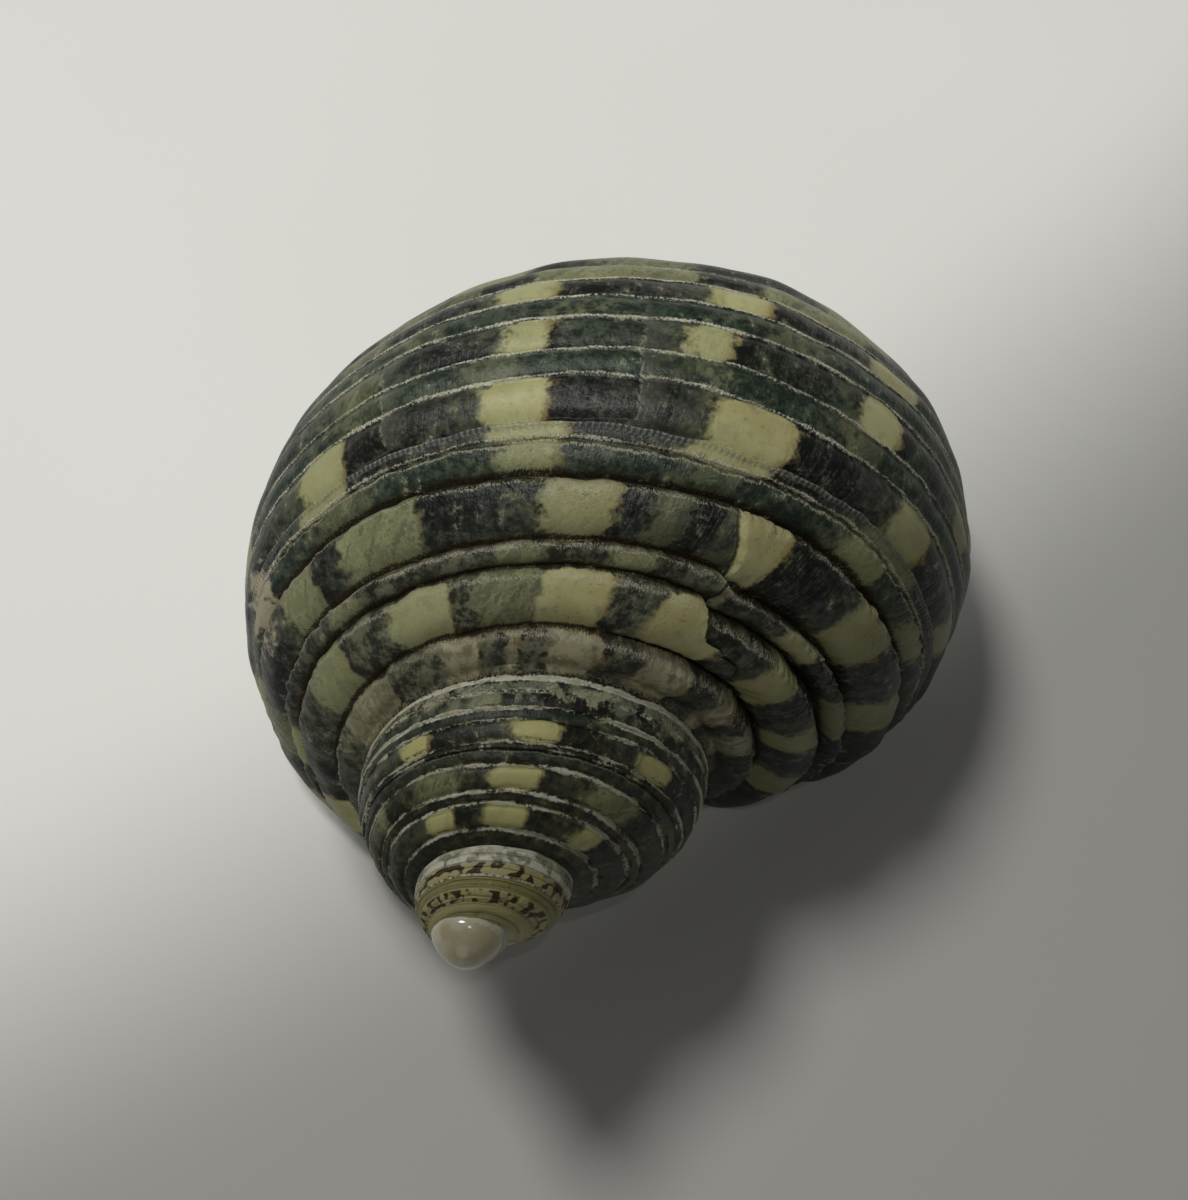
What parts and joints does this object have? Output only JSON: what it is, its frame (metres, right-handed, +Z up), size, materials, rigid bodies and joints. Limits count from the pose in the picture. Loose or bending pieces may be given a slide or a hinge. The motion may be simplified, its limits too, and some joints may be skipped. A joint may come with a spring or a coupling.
{
  "type": "turban shell",
  "caption": "Empty dextral turban shell with a short spire, strong spiral ribs and a round aperture, lying on its lip.",
  "frame": {"origin": "on the surface the shell lies on, under the middle of its box", "axes": "+Z up from the surface, -Y towards the side the spire points to, +X to the right with the spire in front"},
  "size_m": [0.0572, 0.0536, 0.0388],
  "materials": {
    "shell": "satin"
  },
  "bodies": {
    "root": {"shell": "shell"}
  },
  "joints": []
}
